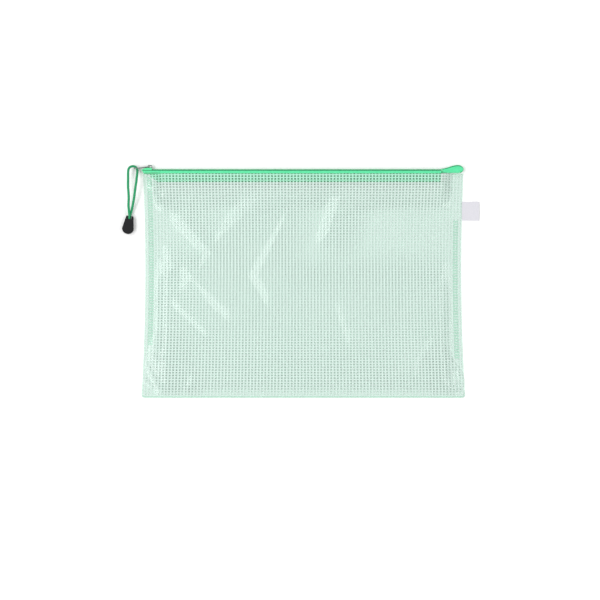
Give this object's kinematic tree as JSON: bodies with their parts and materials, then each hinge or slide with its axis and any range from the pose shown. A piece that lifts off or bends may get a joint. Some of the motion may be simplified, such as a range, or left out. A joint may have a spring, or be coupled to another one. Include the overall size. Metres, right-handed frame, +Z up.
{
  "type": "document wallet",
  "caption": "Flat A4 document wallet of translucent mint mesh film, with a zip along the top edge, a slider with a cord pull, and a side tag.",
  "frame": {"origin": "middle of the back panel's lower face, on the table the wallet lies on", "axes": "+X along the zip, +Y towards the zip edge, +Z up from the table through the front panel"},
  "size_m": [0.3696, 0.241, 0.0125],
  "materials": {
    "film": "clear mint PVC film with a scrim of mint yarns",
    "tape": "woven polyester tape",
    "coil": "nylon coil",
    "thread": "polyester sewing thread",
    "slider_paint": "gloss paint",
    "bare_metal": "nickel plated",
    "cord": "braided polyester cord",
    "cord_end": "moulded, satin",
    "tag": "bare woven ribbon"
  },
  "bodies": {
    "root": {"back_panel": "film", "front_panel_sides": "film", "back_zip_tape": "tape", "front_zip_tape_ends": "tape", "zip_tail": "tape", "zip_stop_left": "thread", "zip_stop_right": "thread", "back_zip_coil": "coil", "front_zip_coil_ends": "coil", "back_tape_stitch": "thread", "front_tape_stitch_ends": "thread", "side_tag": "tag"},
    "front": {"front_panel": "film", "front_zip_tape": "tape", "front_zip_coil": "coil", "front_tape_stitch": "thread"},
    "slider": {"slider_body": "slider_paint", "slider_bridge": "bare_metal"},
    "pull_tab": {"pull_tab": "bare_metal"},
    "pull": {"pull_cord": "cord", "cord_knot": "cord", "cord_end_body": "cord_end", "cord_end_cap": "cord_end"}
  },
  "joints": [
    {"name": "mouth_open", "type": "hinge", "parent": "root", "child": "front", "pos_m": [0, -0.1162, 0.0003], "axis": [1, 0, 0], "range_deg": [0, 14], "deforming": ["front_panel_sides", "front_zip_tape_ends", "front_zip_coil_ends", "front_tape_stitch_ends"]},
    {"name": "slider_travel", "type": "slide", "parent": "root", "child": "slider", "axis": [1, 0, 0], "range_m": [0, 0.2983], "deforming": ["pull_cord"]},
    {"name": "tab_flip", "type": "hinge", "parent": "slider", "child": "pull_tab", "pos_m": [-0.1592, 0.1231, 0.0044], "axis": [0, 0, -1], "range_deg": [0, 150]},
    {"name": "pull_swing", "type": "hinge", "parent": "pull_tab", "child": "pull", "pos_m": [-0.17209, 0.12143, 0.0044], "axis": [0, 0, -1], "range_deg": [-5, 105]}
  ]
}
